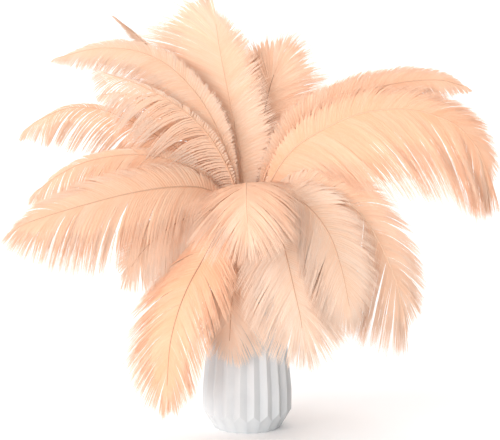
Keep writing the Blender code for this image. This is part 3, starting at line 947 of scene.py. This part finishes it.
def vane_arrays(chance, gaps, ribbons, hairs, wisps):
    """The points and UV places of the three kinds of barb on a vane."""
    def single(kind, barbs):
        thick = chance.uniform(*THICKNESS, len(barbs[0]))[:, None]
        return roofs(chance, kind.out, *barbs, kind.widths[None] * thick, HAIR_HEIGHT,
                     HAIR_TWIST)

    across, gap = across_vane(*ribbons[:2])
    width = np.clip(gap * RIBBON_TAPER, *RIBBON_WIDTHS) * (1.0 - RIBBON_SLIMMER * gaps)
    return (roofs(chance, HAIRS.out * RIBBON_LENGTH, *ribbons, width, RIBBON_HEIGHT,
                  RIBBON_TWIST, across),
            single(HAIRS, hairs), single(WISPS, wisps))


# %% One mesh of all the barbs
def mesh_of_vanes(name, kinds):
    """One mesh of all the barbs of a plume, given as points and UV places."""
    corners, sizes, places, seen = [], [], [], 0
    for points, uv in kinds:
        faces = barb_faces(points.shape[1] // CORNERS)
        order = np.concatenate(faces)
        first = seen + np.arange(len(points)) * points.shape[1]
        corners.append((first[:, None] + order[None]).ravel())
        sizes.append(np.tile([len(face) for face in faces], len(points)))
        places.append(uv[:, order].reshape(-1, 2))
        seen += points.shape[0] * points.shape[1]
    corners, sizes, places = (np.concatenate(found) for found in (corners, sizes, places))
    starts = np.concatenate(((0,), np.cumsum(sizes)[:-1]))
    together = np.concatenate([points.reshape(-1, 3) for points, _ in kinds]) * MM
    mesh = bpy.data.meshes.new(name)
    mesh.vertices.add(seen)
    mesh.vertices.foreach_set("co", together.astype(np.float32).ravel())
    mesh.loops.add(len(corners))
    mesh.loops.foreach_set("vertex_index", corners.astype(np.int32))
    mesh.polygons.add(len(sizes))
    mesh.polygons.foreach_set("loop_start", starts.astype(np.int32))
    mesh.polygons.foreach_set("use_smooth", np.zeros(len(sizes), bool))
    layer = mesh.uv_layers.new(name=UV_NAME)
    layer.data.foreach_set("uv", places.astype(np.float32).ravel())
    mesh.update(calc_edges=True)
    return mesh


# %% [markdown]
# ### The shaft
#
# The quill is a pale horn tube, and the shaft beyond it tapers to a hair at the tip. A
# curve with a round bevel makes it, each point with a radius of its own, and is then made
# a mesh with closed ends.

# %% Shaft meshes
QUILL_RADIUS = 1.5
RACHIS_RADIUS = 0.95        # of the shaft, where the vanes begin
TIP_RADIUS = 0.28
SHAFT_POINTS = 90
SHAFT_V = (0.93, 0.99)      # its place in the UV map, above the barbs
SHADE_AROUND = 0.02         # how much its tint changes round it


def select_only(*things):
    """Select these objects alone; the last one is the active one."""
    bpy.ops.object.select_all(action="DESELECT")
    for thing in things:
        thing.select_set(True)
    bpy.context.view_layer.objects.active = things[-1]


def shaft_mesh(name, line, shade):
    """The quill and shaft of a plume, as a mesh object."""
    distance = np.linspace(0.0, line.length, SHAFT_POINTS)
    place = sample(line.distance, line.place, distance)
    radius = np.interp(distance, (0.0, line.vane_at, line.length),
                       (QUILL_RADIUS, RACHIS_RADIUS, TIP_RADIUS))
    curve = bpy.data.curves.new(name, "CURVE")
    curve.dimensions = "3D"
    curve.bevel_depth = MM
    curve.bevel_resolution = 2
    curve.use_fill_caps = True
    spline = curve.splines.new("POLY")
    spline.points.add(SHAFT_POINTS - 1)
    spline.points.foreach_set("co", np.column_stack((place * MM,
                                                     np.ones(SHAFT_POINTS))).ravel())
    spline.points.foreach_set("radius", radius)
    thing = bpy.data.objects.new(name, curve)
    bpy.context.scene.collection.objects.link(thing)
    select_only(thing)
    bpy.ops.object.convert(target="MESH")
    thing = bpy.context.object
    mesh = thing.data

    ring = len(mesh.vertices) // SHAFT_POINTS
    vertex = np.arange(len(mesh.vertices))
    u = shade + SHADE_AROUND * np.cos(2 * math.pi * (vertex % ring) / ring)
    v = SHAFT_V[0] + (SHAFT_V[1] - SHAFT_V[0]) * (vertex // ring) / SHAFT_POINTS
    corner = np.empty(len(mesh.loops), np.int32)
    mesh.loops.foreach_get("vertex_index", corner)
    for layer in list(mesh.uv_layers):
        mesh.uv_layers.remove(layer)
    layer = mesh.uv_layers.new(name=UV_NAME)
    layer.data.foreach_set("uv", np.column_stack((u, v))[corner].astype(np.float32).ravel())
    return thing


# %% [markdown]
# ### Dyed down
#
# Ostrich down takes dye unevenly, and no two strands have quite the same tint. Each barb is
# also tinted deeper near the shaft, which is painted shade where the vane shadows itself, and
# lighter towards its tip, which is painted light where light comes through the fringe. The
# down is dull, with a faint velvet sheen, and light comes through it.
#
# The tint comes from the UV map, and a noise stretched along the barbs adds the fine
# streaks that barbules leave. A Translucent shader lets the light through.

# %% Dyed down
DEEP, PEACH, CREAM = (0.924, 0.548, 0.342), (0.938, 0.665, 0.482), (0.955, 0.792, 0.665)
LIGHT_THROUGH = 0.32

down, tree, shader = new_material("dyed_down")
uv = add_node(tree, "ShaderNodeUVMap", uv_map=UV_NAME).outputs["UV"]
parts = add_node(tree, "ShaderNodeSeparateXYZ", {"Vector": uv}).outputs
stretch = add_node(tree, "ShaderNodeMapping",
                   {"Vector": uv, "Scale": (90.0, 7.0, 1.0)}).outputs["Vector"]
streaks = add_node(tree, "ShaderNodeTexNoise",
                   {"Vector": stretch, "Scale": 1.0, "Detail": 3.0,
                    "Roughness": 0.6}).outputs["Fac"]
barbules = add_node(tree, "ShaderNodeTexNoise",
                    {"Vector": uv, "Scale": 160.0, "Detail": 2.0}).outputs["Fac"]
# painted shade near the shaft and painted light towards the tip of each barb, by how far out
# along it a point is
tint = add_math(tree, "ADD", parts["X"],
                add_range(tree, parts["Y"], BARB_V[0], BARB_V[1], -0.10, 0.14))
tint = add_math(tree, "ADD", tint,
                add_range(tree, streaks, NOISE_LOW, NOISE_HIGH, -0.14, 0.14))
down_colour = add_ramp(tree, tint, (0.0, DEEP), (0.5, PEACH), (1.0, CREAM))
bump = add_node(tree, "ShaderNodeBump", {"Height": barbules, "Strength": 0.25,
                                         "Distance": 0.0002})
fill(tree, shader, {"Base Color": down_colour, "Normal": bump.outputs["Normal"],
                    "Roughness": add_range(tree, streaks, NOISE_LOW, NOISE_HIGH, 0.82, 0.96),
                    "Specular IOR Level": 0.25, "Sheen Weight": 0.10,
                    "Sheen Roughness": 0.45, "Sheen Tint": (1.0, 0.88, 0.78, 1.0)})
through = add_node(tree, "ShaderNodeBsdfTranslucent", {"Color": down_colour})
mixed = add_node(tree, "ShaderNodeMixShader", {0: LIGHT_THROUGH, 1: shader.outputs["BSDF"],
                                               2: through.outputs["BSDF"]})
fill(tree, tree.nodes["Material Output"], {"Surface": mixed.outputs["Shader"]})
print("down:", len(tree.nodes), "nodes")

# %% Dyed shaft
BROWN, TAN, PALE_HORN = (0.360, 0.170, 0.095), (0.720, 0.430, 0.280), (0.920, 0.670, 0.490)

horn, tree, shader = new_material("dyed_shaft")
uv = add_node(tree, "ShaderNodeUVMap", uv_map=UV_NAME).outputs["UV"]
parts = add_node(tree, "ShaderNodeSeparateXYZ", {"Vector": uv}).outputs
stretch = add_node(tree, "ShaderNodeMapping",
                   {"Vector": uv, "Scale": (200.0, 60.0, 1.0)}).outputs["Vector"]
fibres = add_node(tree, "ShaderNodeTexNoise",
                  {"Vector": stretch, "Scale": 1.0, "Detail": 2.0}).outputs["Fac"]
horn_tint = add_math(tree, "ADD", parts["X"],
                     add_range(tree, fibres, NOISE_LOW, NOISE_HIGH, -0.06, 0.06))
horn_colour = add_ramp(tree, horn_tint, (0.0, BROWN), (0.5, TAN), (1.0, PALE_HORN))
bump = add_node(tree, "ShaderNodeBump", {"Height": fibres, "Strength": 0.3,
                                         "Distance": 0.0002})
fill(tree, shader, {"Base Color": horn_colour, "Normal": bump.outputs["Normal"],
                    "Roughness": add_range(tree, fibres, NOISE_LOW, NOISE_HIGH, 0.42, 0.60)})
print("shaft:", len(tree.nodes), "nodes")

# %% [markdown]
# ### Grow the plumes
#
# Each plume is one piece: both vanes and the shaft, joined. Every plume draws its random
# numbers from a seed of its own, so that a change to one leaves the others as they are.


# %% Grow the plumes
FIRST_SEED = 100


def grow(index, plume):
    """The finished piece of one plume."""
    chance = np.random.default_rng(FIRST_SEED + index)
    line = lines[plume.name]
    kinds = []
    for side in (1, -1):
        kinds += vane_arrays(chance, apart(plume), *vane(chance, plume, line, side))
    name = "plume_" + plume.name
    mesh = mesh_of_vanes(name, kinds)
    mesh.materials.append(down)
    piece = bpy.data.objects.new(name, mesh)
    bpy.context.scene.collection.objects.link(piece)
    shaft = shaft_mesh(name + "_shaft", line, plume.shaft)
    shaft.data.materials.clear()
    shaft.data.materials.append(horn)
    select_only(shaft, piece)
    bpy.ops.object.join()
    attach(piece, "root")
    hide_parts("feather_" + plume.name)
    return piece


triangles = 0
for index, plume in enumerate(PLUMES):
    piece = grow(index, plume)
    piece.data.calc_loop_triangles()
    triangles += len(piece.data.loop_triangles)
print("triangles in the plumes:", triangles)
